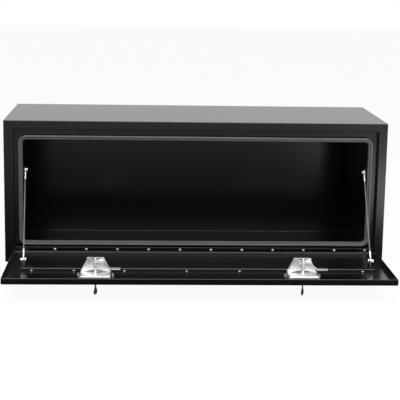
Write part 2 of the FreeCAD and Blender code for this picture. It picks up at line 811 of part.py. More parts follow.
def make_dish(side, sign):
    body = new_body(side + "_latch_dish", latch_place(sign))
    outside = "(-metal - gasket_metal - dish_metal)"
    half_width, half_length = "dish_width / 2", "dish_length / 2"
    flange = new_sketch(body, "XY", outside)
    rounded_rectangle(flange, f"{half_width} + dish_flange", f"{half_length} + dish_flange", "dish_corner")
    pad(body, flange, "dish_metal")
    cup = new_sketch(body, "XY", outside)
    rounded_rectangle(cup, half_width, half_length, "dish_corner")
    pad(body, cup, f"dish_rise - {outside}")
    fillet(body, "3", lambda edge: lies_at(edge, "Z", "dish_rise"))
    hollow = new_sketch(body, "XY", outside)
    rounded_rectangle(hollow, f"{half_width} - dish_metal", f"{half_length} - dish_metal",
                      "(dish_corner - dish_metal)")
    pocket(body, hollow, f"dish_rise - dish_metal - {outside}", backwards=True)
    hole = new_sketch(body, "XY", "dish_rise")
    circle(hole, "0", "0", "spindle_bore")
    pocket(body, hole, "dish_metal")
    studs = new_sketch(body, "XY", f"{outside} + dish_metal / 2")
    for stud in (-1, 1):
        circle(studs, f"{stud} * stud_spread", "stud_back", "stud_radius")
    pad(body, studs, f"stud_rise - {outside} - dish_metal / 2")
    return body


def make_gasket(side, sign):
    body = new_body(side + "_latch_gasket", latch_place(sign))
    half_width, half_length = "dish_width / 2", "dish_length / 2"
    ring = new_sketch(body, "XY", "-metal - gasket_metal")
    rounded_rectangle(ring, f"{half_width} + dish_flange", f"{half_length} + dish_flange", "dish_corner")
    rounded_rectangle(ring, f"{half_width} + cutout_gap", f"{half_length} + cutout_gap", "dish_corner")
    for stud in (-1, 1):
        circle(ring, f"{stud} * stud_spread", "stud_back", "stud_hole")
    pad(body, ring, "gasket_metal")
    return body


def make_yoke(side, sign):
    body = new_body(side + "_latch_yoke", latch_place(sign))
    front_plate = new_sketch(body, "XZ", "-yoke_front - yoke_metal")
    polygon(front_plate, [
        ("-yoke_foot", "dish_rise"), ("yoke_foot", "dish_rise"), ("yoke_neck", "yoke_shoulder"),
        ("yoke_neck", "yoke_horn"), ("-yoke_neck", "yoke_horn"), ("-yoke_neck", "yoke_shoulder"),
    ])
    pad(body, front_plate, "yoke_metal")
    scallop = new_sketch(body, "XZ", "-yoke_front")
    circle(scallop, "0", "yoke_scallop + scallop_radius", "scallop_radius")
    pocket(body, scallop, "yoke_metal")
    back_plate = new_sketch(body, "XZ", "-yoke_back - yoke_metal")
    polygon(back_plate, [
        ("-yoke_foot", "dish_rise"), ("yoke_foot", "dish_rise"),
        ("yoke_back_neck", "yoke_back_top"), ("-yoke_back_neck", "yoke_back_top"),
    ])
    window_top = "(yoke_back_top - yoke_back_bar)"
    slope = "((yoke_foot - yoke_back_neck) / (yoke_back_top - dish_rise))"
    window_neck = f"(yoke_back_neck + {slope} * yoke_back_bar - yoke_back_post)"
    window_low = "(yoke_arch + yoke_back_bar)"
    window_foot = f"(yoke_foot - {slope} * ({window_low} - dish_rise) - yoke_back_post)"
    polygon(back_plate, [
        (f"-{window_foot}", window_low), (window_foot, window_low),
        (window_neck, window_top), (f"-{window_neck}", window_top),
    ])
    pad(body, back_plate, "yoke_metal")
    feet = new_sketch(body, "XY", "dish_rise")
    for low, high in (("-yoke_foot", "-yoke_foot_inner"), ("yoke_foot_inner", "yoke_foot")):
        rectangle(feet, (low, high), ("yoke_front", "yoke_back + yoke_metal"))
    pad(body, feet, "yoke_metal")
    arch = new_sketch(body, "XZ", "-yoke_front")
    circle(arch, "0", "yoke_arch - arch_radius", "arch_radius")
    pocket(body, arch, "yoke_back - yoke_front + yoke_metal")
    lug = new_sketch(body, "XY", "lug_height")
    rectangle(lug, ("-lug_radius", "lug_radius"), ("0", "yoke_front + yoke_metal / 2"))
    pad(body, lug, "lug_metal")
    nose = new_sketch(body, "XY", "lug_height")
    circle(nose, "0", "0", "lug_radius")
    pad(body, nose, "lug_metal")
    hole = new_sketch(body, "XY", "lug_height")
    circle(hole, "0", "0", "spindle_bore")
    pocket(body, hole, "lug_metal", backwards=True)
    return body


def make_stud_nuts():
    pieces = []
    for side, sign in sides.items():
        x, y, z = latch_place(sign)
        for stud in (-1, 1):
            place = (f"{x} + {stud} * stud_spread", f"{y} + stud_back", z)
            blank = hexagon("7", "3.2", place)
            thread = rod("stud_radius + 0.02", "3.2", place)
            pieces.append(without(f"stud_nut_{side}_{stud + 1}", blank, thread))
    return grouped("latch_stud_nuts", pieces)


def make_handle(side, sign):
    body = new_body(side + "_t_handle", latch_place(sign))
    grip = new_sketch(body, "XY", "grip_low")
    rounded_rectangle(grip, "grip_width / 2", "grip_length / 2", "(grip_width / 2 - 0.01)")
    pad(body, grip, "grip_high - grip_low")
    fillet(body, "3", lambda edge: lies_at(edge, "Z", "grip_low"))
    hub = new_sketch(body, "XY", "hub_low")
    circle(hub, "0", "0", "hub_radius")
    pad(body, hub, "grip_high - hub_low")
    fillet(body, "2", lambda edge: lies_at(edge, "Z", "hub_low"))
    for level, radius, depth, upward in (
            ("hub_low", "plug_bore", "plug_bore_high - hub_low", True),
            ("grip_high", "spindle_radius + 0.02", "grip_high - spindle_foot", False)):
        bore = new_sketch(body, "XY", level)
        circle(bore, "0", "0", radius)
        pocket(body, bore, depth, backwards=upward)
    return body


def make_spindle(side, sign):
    body = new_body(side + "_spindle", latch_place(sign))
    shank = new_sketch(body, "XY", "spindle_foot")
    circle(shank, "0", "0", "spindle_radius")
    pad(body, shank, "spindle_shoulder - spindle_foot")
    end = new_sketch(body, "XY", "spindle_shoulder")
    circle(end, "0", "0", "spindle_thread")
    pad(body, end, "spindle_top - spindle_shoulder")
    fillet(body, "0.8", lambda edge: lies_at(edge, "Z", "spindle_top"))
    return body


def make_clip(side, sign):
    body = new_body(side + "_spindle_clip", latch_place(sign))
    ring = new_sketch(body, "XY", "dish_rise + 0.3")
    circle(ring, "0", "0", "spindle_radius + 3.5")
    circle(ring, "0", "0", "spindle_radius + 0.02")
    pad(body, ring, "1.2")
    gap = new_sketch(body, "XY", "dish_rise + 1.5")
    rectangle(gap, ("-2.5", "2.5"), ("-spindle_radius - 5", "0"))
    pocket(body, gap, "1.2")
    return body


def make_cam(side, sign):
    body = new_body(side + "_latch_cam", latch_place(sign))
    half = "cam_width / 2"
    sheet_bend = "cam_metal * 0.45"
    profile = new_sketch(body, "XZ", f"-{half}")
    polygon(profile, [
        (f"-{half}", "cam_high"), ("cam_bend", "cam_high"), ("cam_knee", "cam_knee_height"),
        ("cam_foot", "cam_low"), ("cam_reach", "cam_low"), ("cam_reach", "cam_low - cam_metal"),
        ("cam_foot - 0.9", "cam_low - cam_metal"), ("cam_knee - 2", "cam_knee_height - 2.3"),
        (f"cam_bend - {sheet_bend}", "cam_high - cam_metal"), (f"-{half}", "cam_high - cam_metal"),
    ])
    pad(body, profile, "cam_width")
    fillet(body, "5", lambda edge: runs_along(edge, "Y") and (
        lies_at(edge, "X", "cam_bend") or lies_at(edge, "X", "cam_foot - 0.9")))
    fillet(body, f"{half} - 0.5", lambda edge: runs_along(edge, "Z") and lies_at(edge, "X", f"-{half}"))
    fillet(body, "4", lambda edge: runs_along(edge, "Z") and lies_at(edge, "X", "cam_reach"))
    hole = new_sketch(body, "XY", "cam_high")
    circle(hole, "0", "0", "cam_bore")
    pocket(body, hole, "cam_metal")
    return body


def make_cam_nut(side, sign):
    x, y, z = latch_place(sign)
    place = (x, y, f"{z} + cam_high")
    blank = hexagon("nut_across", "nut_height", place)
    thread = rod("cam_bore", "nut_height", place)
    return without(side + "_cam_nut", blank, thread)


def make_plug(side, sign):
    x, y, z = latch_place(sign)
    angle = side + "_key_angle"
    barrel = rod("plug_radius", "plug_high - plug_low", ("0", "0", "plug_low"))
    half_long, half_wide = "keyway_length / 2", "keyway_width / 2"
    slot = block((f"-{half_long}", half_long), (f"-{half_wide}", half_wide), ("plug_low", "plug_high"))
    plug = without(side + "_lock_plug", barrel, slot)
    turn(plug, angle)
    put(plug, (x, y, z))
    return plug


def make_key(side, sign):
    x, y, z = latch_place(sign)
    half = "key_metal / 2"
    thick = (f"-{half}", half)
    blade = block(("-key_width / 2", "key_width / 2"), thick, ("bow_height + bow_radius / 2", "key_high"))
    bow = rod("bow_radius", "key_metal", ("0", half, "bow_height"), Vector(0, -1, 0))
    shoulder = block(("-key_width / 2 - 1.5", "key_width / 2 + 1.5"), thick,
                     ("bow_height + bow_radius / 2", "bow_height + bow_radius + 3"))
    solid = joined(side + "_key_blank", [blade, bow, shoulder])
    hole = rod("bow_hole", "key_metal + 2", ("0", "key_metal / 2 + 1", "bow_height - bow_radius * 0.6"),
               Vector(0, -1, 0))
    key = without(side + "_key", solid, hole)
    turn(key, side + "_key_angle")
    put(key, (x, y, z))
    return key


# The whole box
pieces = [make_wrap(), make_front_frame(), make_seal(), make_door_pan(), make_inner_panel()]
pieces += make_seal_strips()
pieces += make_hinge()
pieces += make_hinge_rivets()
pieces += [make_panel_rivets(), make_stud_nuts()]
pieces += make_cable_hardware()
for side_name, side_sign in sides.items():
    for make in (make_end_panel, make_cable_bracket, make_cable_tab, make_dish, make_gasket, make_yoke,
                 make_handle, make_spindle, make_clip, make_cam, make_cam_nut, make_plug, make_key):
        pieces.append(make(side_name, side_sign))
    pieces += make_cable(side_name, side_sign)

# Every object is checked before any file is written
doc.recompute()
for item in doc.Objects:
    if "Invalid" in item.State or "Error" in item.State:
        raise RuntimeError(f"{item.Label} failed: {item.State}")
for piece in pieces:
    if piece.Shape.isNull() or not piece.Shape.isValid() or piece.Shape.Volume <= 0:
        raise RuntimeError(f"{piece.Label} has no valid shape")
for piece in pieces:
    piece.Shape.exportStep(f"parts/{piece.Label}.step")
print(len(pieces), "pieces written")
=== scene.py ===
import json
import math

import bmesh
import bpy
from mathutils import Matrix, Vector


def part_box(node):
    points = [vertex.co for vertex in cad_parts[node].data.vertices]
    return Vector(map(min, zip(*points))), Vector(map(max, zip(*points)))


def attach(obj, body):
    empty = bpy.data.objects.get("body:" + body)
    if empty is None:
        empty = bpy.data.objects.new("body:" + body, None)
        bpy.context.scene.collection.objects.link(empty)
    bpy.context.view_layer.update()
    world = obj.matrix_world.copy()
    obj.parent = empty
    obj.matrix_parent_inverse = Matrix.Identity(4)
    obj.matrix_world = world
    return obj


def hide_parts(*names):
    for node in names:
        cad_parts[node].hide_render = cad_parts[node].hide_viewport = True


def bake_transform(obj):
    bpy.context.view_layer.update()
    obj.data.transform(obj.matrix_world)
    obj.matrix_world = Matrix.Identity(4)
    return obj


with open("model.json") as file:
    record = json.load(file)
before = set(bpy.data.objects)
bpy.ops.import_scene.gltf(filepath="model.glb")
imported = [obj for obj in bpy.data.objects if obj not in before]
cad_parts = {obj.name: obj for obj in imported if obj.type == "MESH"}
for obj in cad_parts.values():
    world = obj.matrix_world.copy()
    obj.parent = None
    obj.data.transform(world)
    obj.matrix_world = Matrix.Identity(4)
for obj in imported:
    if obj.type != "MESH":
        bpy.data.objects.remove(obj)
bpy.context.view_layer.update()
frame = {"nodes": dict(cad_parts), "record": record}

cadNodes = frame["nodes"]
mm = 0.001  # new shapes are drawn in millimetres, and finishedMesh makes them metres
sides = {"left": -1, "right": 1}
slotOf = {entry["node"]: entry["material_slot"] for entry in frame["record"]["subparts"]}
bodyOf = {node: body for body, nodes in frame["record"]["behaviour"]["bodies"].items() for node in nodes}


# Finishes

def newMaterial(name):
    material = bpy.data.materials.new(name)
    material.use_nodes = True
    tree = material.node_tree
    return material, tree, tree.nodes["Principled BSDF"]


def addNode(tree, kind, **values):
    node = tree.nodes.new(kind)
    for key, value in values.items():
        if key in node.inputs:
            node.inputs[key].default_value = value
        else:
            setattr(node, key, value)
    return node


def objectNoise(tree, scale, detail=3.0, roughness=0.5, stretch=(1, 1, 1)):
    coords = tree.nodes.new("ShaderNodeTexCoord")
    mapping = tree.nodes.new("ShaderNodeMapping")
    mapping.inputs["Scale"].default_value = stretch
    noise = addNode(tree, "ShaderNodeTexNoise", Scale=scale, Detail=detail, Roughness=roughness)
    tree.links.new(coords.outputs["Object"], mapping.inputs["Vector"])
    tree.links.new(mapping.outputs["Vector"], noise.inputs["Vector"])
    return noise


def spread(tree, source, low, high, fromLow=0.3, fromHigh=0.7):
    ranged = tree.nodes.new("ShaderNodeMapRange")
    for key, value in (("From Min", fromLow), ("From Max", fromHigh), ("To Min", low), ("To Max", high)):
        ranged.inputs[key].default_value = value
    tree.links.new(source, ranged.inputs["Value"])
    return ranged.outputs["Result"]


def tinted(tree, source, dark, light):
    mix = tree.nodes.new("ShaderNodeMix")
    mix.data_type = "RGBA"
    mix.inputs["A"].default_value = (*dark, 1)
    mix.inputs["B"].default_value = (*light, 1)
    tree.links.new(source, mix.inputs["Factor"])
    return mix.outputs["Result"]


def bumped(tree, shader, layers, socket="Normal"):
    normal = None
    for source, strength, distance in layers:
        bump = addNode(tree, "ShaderNodeBump", Strength=strength, Distance=distance)
        tree.links.new(source, bump.inputs["Height"])
        if normal:
            tree.links.new(normal, bump.inputs["Normal"])
        normal = bump.outputs["Normal"]
    tree.links.new(normal, shader.inputs[socket])


powderCoat = {
    "dark": (0.0018, 0.0018, 0.0019), "light": (0.0034, 0.0034, 0.0035), "dust": (0.03, 0.03, 0.03),
    "roughLow": 0.42, "roughHigh": 0.52, "specular": 0.0,
    "gloss": 0.95, "glossRoughness": 0.2,
    "cloudScale": 9, "peelScale": 420, "waveScale": 5, "dustScale": 700,
    "peelDepth": 0.000012, "peelStrength": 0.5, "waveDepth": 0.0002, "waveStrength": 0.3,
    "dustAmount": 0.6, "dustFrom": 0.72, "dustTo": 0.78,
}


def makePowderCoat(name, spec):
    material, tree, shader = newMaterial(name)
    cloud = objectNoise(tree, spec["cloudScale"], 5)
    peel = objectNoise(tree, spec["peelScale"], 2)
    wave = objectNoise(tree, spec["waveScale"], 2)
    dust = objectNoise(tree, spec["dustScale"], 1)
    coat = tinted(tree, cloud.outputs["Fac"], spec["dark"], spec["light"])
    specks = addNode(tree, "ShaderNodeMix", data_type="RGBA")
    specks.inputs["B"].default_value = (*spec["dust"], 1)
    tree.links.new(spread(tree, dust.outputs["Fac"], 0, spec["dustAmount"], spec["dustFrom"], spec["dustTo"]),
                   specks.inputs["Factor"])
    tree.links.new(coat, specks.inputs["A"])
    tree.links.new(specks.outputs["Result"], shader.inputs["Base Color"])
    tree.links.new(spread(tree, cloud.outputs["Fac"], spec["roughLow"], spec["roughHigh"]),
                   shader.inputs["Roughness"])
    shader.inputs["Specular IOR Level"].default_value = spec["specular"]
    shader.inputs["Coat Weight"].default_value = spec["gloss"]
    shader.inputs["Coat Roughness"].default_value = spec["glossRoughness"]
    layers = [(peel.outputs["Fac"], spec["peelStrength"], spec["peelDepth"]),
              (wave.outputs["Fac"], spec["waveStrength"], spec["waveDepth"])]
    bumped(tree, shader, layers)
    bumped(tree, shader, layers, "Coat Normal")
    return material


zincPlate = {
    "dark": (0.6, 0.6, 0.61), "light": (0.92, 0.92, 0.92), "roughLow": 0.28, "roughHigh": 0.5,
    "grain": (1, 1, 1), "grainScale": 260, "grainDepth": 0.00002, "grainStrength": 0.4,
    "spangle": 60, "spangleDepth": 0.0003, "spangleStrength": 0.3,
}


def makeSteel(name, **changes):
    spec = dict(zincPlate, **changes)
    material, tree, shader = newMaterial(name)
    grain = objectNoise(tree, spec["grainScale"], 4, 0.6, spec["grain"])
    cloud = objectNoise(tree, spec["spangle"], 3)
    tree.links.new(tinted(tree, cloud.outputs["Fac"], spec["dark"], spec["light"]), shader.inputs["Base Color"])
    tree.links.new(spread(tree, grain.outputs["Fac"], spec["roughLow"], spec["roughHigh"]),
                   shader.inputs["Roughness"])
    shader.inputs["Metallic"].default_value = 1.0
    bumped(tree, shader, [(grain.outputs["Fac"], spec["grainStrength"], spec["grainDepth"]),
                          (cloud.outputs["Fac"], spec["spangleStrength"], spec["spangleDepth"])])
    return material


sealRubber = {
    "dark": (0.05, 0.05, 0.05), "light": (0.085, 0.085, 0.085), "roughLow": 0.45, "roughHigh": 0.7,
    "specular": 0.45, "cloudScale": 25, "poreScale": 500, "poreDepth": 0.0001, "poreStrength": 0.6,
}


def makeRubber(name, spec):
    material, tree, shader = newMaterial(name)
    pores = objectNoise(tree, spec["poreScale"], 3)
    cloud = objectNoise(tree, spec["cloudScale"], 4)
    tree.links.new(tinted(tree, cloud.outputs["Fac"], spec["dark"], spec["light"]), shader.inputs["Base Color"])
    tree.links.new(spread(tree, pores.outputs["Fac"], spec["roughLow"], spec["roughHigh"]),
                   shader.inputs["Roughness"])
    shader.inputs["Specular IOR Level"].default_value = spec["specular"]
    bumped(tree, shader, [(pores.outputs["Fac"], spec["poreStrength"], spec["poreDepth"])])
    return material


materials = {
    "black_powder": makePowderCoat("blackPowderCoat", powderCoat),
    "bright_steel": makeSteel("latchSteel", grain=(6, 1, 6), spangle=45),
    "zinc": makeSteel("zincPlate"),
    "rubber": makeRubber("sealRubber", sealRubber),
    "nickel": makeSteel("keyNickel", dark=(0.34, 0.33, 0.31), light=(0.5, 0.49, 0.47), spangle=300),
}
ropeSteel = makeSteel("ropeSteel", dark=(0.12, 0.12, 0.12), light=(0.24, 0.24, 0.24), roughLow=0.34, roughHigh=0.52)
swageSteel = makeSteel("swageSteel", dark=(0.5, 0.5, 0.5), light=(0.85, 0.85, 0.85))
rivetAluminium = makeSteel("rivetAluminium", dark=(0.28, 0.28, 0.28), light=(0.42, 0.42, 0.42), spangle=500)


def finishOf(node):
    if "rivets" in node:
        return rivetAluminium
    if node.endswith("_cable"):
        return ropeSteel
    if node.endswith("_cable_ends"):
        return swageSteel
    return materials[slotOf[node]]


for node, item in cadNodes.items():
    item.data.materials.clear()
    item.data.materials.append(finishOf(node))
print("finishes done")


# Shared helpers

def camel(node):
    words = node.split("_")
    return words[0] + "".join(word.capitalize() for word in words[1:])


def keep(name, mesh, finish, body, nodes=()):
    mesh.name = name
    mesh.materials.clear()
    mesh.materials.append(finish)
    item = bpy.data.objects.new(name, mesh)
    bpy.context.scene.collection.objects.link(item)
    if nodes:
        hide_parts(*nodes)
    if body:
        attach(item, body)
    return item


def smoothShaded(mesh, angle=35):
    for polygon in mesh.polygons:
        polygon.use_smooth = True
    mesh.set_sharp_from_angle(angle=math.radians(angle))
    return mesh


def evaluated(item):
    bpy.context.view_layer.update()
    graph = bpy.context.evaluated_depsgraph_get()
    return bpy.data.meshes.new_from_object(item.evaluated_get(graph))


def rounded(shape, level, front, width, nearest, farthest):
    # Rounds the long rims at the level whose middles lie so far behind the front, as a thick coat does
    rims = [edge for edge in shape.edges if edge.calc_length() > 200 * mm
            and all(abs(vertex.co.z - level) < 0.1 * mm for vertex in edge.verts)
            and nearest < (edge.verts[0].co.y + edge.verts[1].co.y) / 2 / mm - front < farthest]
    bmesh.ops.bevel(shape, geom=rims, offset=width * mm, segments=4, profile=0.5, affect="EDGES",
                    clamp_overlap=False)


brokenEdge = {"steps": 2, "sharpFrom": 28, "flatsWeight": 90, "weldWithin": 0.004, "flatWithin": 0.6}


def softened(node, width, rims=()):
    # A copy of a CAD node with its cut edges broken, as sheet metal has after deburring and coating
    shape = bmesh.new()
    shape.from_mesh(cadNodes[node].data)
    bmesh.ops.remove_doubles(shape, verts=shape.verts, dist=brokenEdge["weldWithin"] * mm)
    bmesh.ops.dissolve_limit(shape, angle_limit=math.radians(brokenEdge["flatWithin"]), verts=shape.verts,
                             edges=shape.edges, delimit={"NORMAL"})
    for rim in rims:
        rounded(shape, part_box(node)[1].z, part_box(node)[0].y / mm, *rim)
    mesh = bpy.data.meshes.new(node)
    shape.to_mesh(mesh)
    shape.free()
    item = bpy.data.objects.new(node + "Rough", smoothShaded(mesh, 180))
    bpy.context.scene.collection.objects.link(item)
    bevel = item.modifiers.new("edges", "BEVEL")
    bevel.width = width * mm
    bevel.segments = brokenEdge["steps"]
    bevel.limit_method = "ANGLE"
    bevel.angle_limit = math.radians(brokenEdge["sharpFrom"])
    flats = item.modifiers.new("flats", "WEIGHTED_NORMAL")
    flats.keep_sharp = True
    flats.weight = brokenEdge["flatsWeight"]
    finished = evaluated(item)
    bpy.data.objects.remove(item)
    return keep(camel(node) + "Piece", finished, finishOf(node), bodyOf[node], [node])


def finishedMesh(shape, name, angle=35):
    # A drawn shape, in millimetres, made a mesh in metres with its faces turned outwards
    bmesh.ops.recalc_face_normals(shape, faces=shape.faces)
    mesh = bpy.data.meshes.new(name)
    shape.to_mesh(mesh)
    shape.free()
    mesh.transform(Matrix.Scale(mm, 4))
    return smoothShaded(mesh, angle)


def loft(shape, rings, looped=False):
    rows = [[shape.verts.new(point) for point in ring] for ring in rings]
    count = len(rings[0])
    pairs = list(zip(rows, rows[1:]))
    if looped:
        pairs.append((rows[-1], rows[0]))
    else:
        shape.faces.new(rows[0][::-1])
        shape.faces.new(rows[-1])
    for near, far in pairs:
        for index in range(count):
            after = (index + 1) % count
            shape.faces.new((near[index], near[after], far[after], far[index]))


def across(direction):
    # A turn that takes +Z to the direction
    return Vector((0, 0, 1)).rotation_difference(Vector(direction)).to_matrix()


def circleRing(radius, height, count, place=Matrix.Identity(4)):
    return [place @ Vector((radius * math.cos(2 * math.pi * step / count),
                            radius * math.sin(2 * math.pi * step / count), height)) for step in range(count)]


def placing(origin, direction=(0, 0, 1)):
    return Matrix.Translation(Vector(origin)) @ across(direction).to_4x4()


def centreOf(node):
    low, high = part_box(node)
    return (low + high) / 2 / mm


# Sheet metal and cast latch parts: the CAD pieces with broken edges

edgeWidths = {
    "body_wrap": 0.3, "left_end_panel": 0.3, "right_end_panel": 0.3,
    "front_frame": 0.5, "door_inner_panel": 0.5,
    "top_seal_strip": 0.4, "bottom_seal_strip": 0.4, "left_seal_strip": 0.4, "right_seal_strip": 0.4,
    "hinge_frame_leaf": 0.12, "hinge_door_leaf": 0.12, "hinge_pin": 0.3,
}
for side in sides:
    edgeWidths.update({
        side + "_cable_bracket": 0.4, side + "_cable_tab": 0.4, side + "_latch_dish": 0.35,
        side + "_latch_gasket": 0.2, side + "_latch_yoke": 0.5, side + "_latch_cam": 0.5,
        side + "_t_handle": 0.8, side + "_lock_plug": 0.35, side + "_spindle_clip": 0.2,
    })
for node, width in edgeWidths.items():
    softened(node, width)

doorPan = {
    "edges": 0.35,
    # how far the rims of its flanges are rounded, and between which distances from its free edge
    "rims": ((1.5, -0.1, 0.1), (0.45, 1.9, 2.1), (0.95, 5, 500)),
}
softened("door_pan", doorPan["edges"], doorPan["rims"])
print("sheet metal and latch castings done")


# Door seal: a channel over the lip and a hollow bulb beside it, in one loop round the opening

doorSeal = {
    "bulbReach": 12.2,    # from the lip to the outer side of the CAD bulb
    "cornerRadius": 16, "cornerSteps": 9, "straightStep": 24,
    "channelHalf": 2.7, "noseRadius": 2.4, "noseSteps": 4, "nose": 7, "back": 19.5,
    "bulbOut": 6.7, "bulbFront": 8.2, "bulbRadius": 4.3, "bulbSteps": 20,
    "wander": 0.7,        # how far the pressed-on rubber strays from a straight line
    "channelShare": 0.35, # the channel strays less, because the lip holds it
    "waves": (0.011, 0.023, 0.005),
}


def sealPath(spec, halfWide, halfHigh, middle):
    radius = spec["cornerRadius"]
    points = []
    corners = ((1, 1, 0), (-1, 1, 90), (-1, -1, 180), (1, -1, 270))
    for index, (signX, signZ, start) in enumerate(corners):
        centre = (signX * (halfWide - radius), middle + signZ * (halfHigh - radius))
        for step in range(spec["cornerSteps"]):
            turn = math.radians(start + 90 * step / (spec["cornerSteps"] - 1))
            outward = (math.cos(turn), math.sin(turn))
            points.append((centre[0] + radius * outward[0], centre[1] + radius * outward[1], outward))
        following = corners[(index + 1) % 4]
        target = (following[0] * (halfWide - radius), middle + following[1] * (halfHigh - radius))
        outward = (math.cos(math.radians(start + 90)), math.sin(math.radians(start + 90)))
        goal = (target[0] + radius * outward[0], target[1] + radius * outward[1])
        here = points[-1]
        length = math.dist(here[:2], goal)
        count = int(length / spec["straightStep"])
        for step in range(1, count):
            share = step / count
            points.append((here[0] + (goal[0] - here[0]) * share, here[1] + (goal[1] - here[1]) * share, outward))
    return points


def makeSeal(spec):
    low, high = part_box("door_seal")
    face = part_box("front_frame")[0].y / mm
    halfWide = (high.x - low.x) / 2 / mm - spec["bulbReach"]
    halfHigh = (high.z - low.z) / 2 / mm - spec["bulbReach"]
    path = sealPath(spec, halfWide, halfHigh, (high.z + low.z) / 2 / mm)
    half, nose, corner = spec["channelHalf"], spec["nose"], spec["noseRadius"]
    channel = [(-half, spec["back"])]
    for sign in (-1, 1):
        for step in range(spec["noseSteps"] + 1):
            turn = math.radians(90 * step / spec["noseSteps"])
            side = half - corner + corner * (math.cos(turn) if sign < 0 else math.sin(turn))
            front = nose + corner - corner * (math.sin(turn) if sign < 0 else math.cos(turn))
            channel.append((sign * side, front))
    channel.append((half, spec["back"]))
    steps = spec["bulbSteps"]
    bulb = [(spec["bulbOut"] + spec["bulbRadius"] * math.cos(2 * math.pi * step / steps),
             spec["bulbFront"] + spec["bulbRadius"] * math.sin(2 * math.pi * step / steps)) for step in range(steps)]
    wideWave, highWave, slant = spec["waves"]
    shape = bmesh.new()
    for profile, loose in ((channel, spec["channelShare"]), (bulb, 1.0)):
        rings = []
        for x, z, (outX, outZ) in path:
            waves = (math.sin(x * wideWave + 1) + math.sin(z * highWave + x * slant)) / 2
            stray = min(spec["wander"] * loose * waves, 0)
            rings.append([Vector((x + outX * (out + stray), face + depth, z + outZ * (out + stray)))
                          for out, depth in profile])
        loft(shape, rings, looped=True)
    keep("doorSealPiece", finishedMesh(shape, "doorSeal", 50), materials["rubber"], "box", ["door_seal"])


makeSeal(doorSeal)
print("door seal done")


# Geometry Nodes: a tree that stands copies of a piece on points, and one that lays up a wire rope

def newTree(name, inputs):
    tree = bpy.data.node_groups.new(name, "GeometryNodeTree")
    tree.interface.new_socket("Geometry", in_out="INPUT", socket_type="NodeSocketGeometry")
    for label, kind in inputs.items():
        tree.interface.new_socket(label, in_out="INPUT", socket_type="NodeSocket" + kind)
    tree.interface.new_socket("Geometry", in_out="OUTPUT", socket_type="NodeSocketGeometry")
    return tree, tree.nodes.new("NodeGroupInput"), tree.nodes.new("NodeGroupOutput")


def makeStandingTree():
    tree, given, out = newTree("standOnPoints", {
        "Piece": "Object", "Turn": "Vector", "Uneven Turn": "Float", "Finish": "Material"})
    info = tree.nodes.new("GeometryNodeObjectInfo")
    stand = tree.nodes.new("GeometryNodeInstanceOnPoints")
    turned = tree.nodes.new("GeometryNodeRotateInstances")
    chance = addNode(tree, "FunctionNodeRandomValue", data_type="FLOAT", Seed=7)
    spin = tree.nodes.new("ShaderNodeCombineXYZ")
    real = tree.nodes.new("GeometryNodeRealizeInstances")
    finish = tree.nodes.new("GeometryNodeSetMaterial")
    link = tree.links.new
    link(given.outputs["Piece"], info.inputs["Object"])
    link(given.outputs["Geometry"], stand.inputs["Points"])
    link(info.outputs["Geometry"], stand.inputs["Instance"])
    link(given.outputs["Turn"], stand.inputs["Rotation"])
    link(given.outputs["Uneven Turn"], chance.inputs[3])
    link(chance.outputs[1], spin.inputs["Z"])
    link(stand.outputs["Instances"], turned.inputs["Instances"])
    link(spin.outputs["Vector"], turned.inputs["Rotation"])
    link(turned.outputs["Instances"], real.inputs["Geometry"])
    link(real.outputs["Geometry"], finish.inputs["Geometry"])
    link(given.outputs["Finish"], finish.inputs["Material"])
    link(finish.outputs["Geometry"], out.inputs["Geometry"])
    return tree


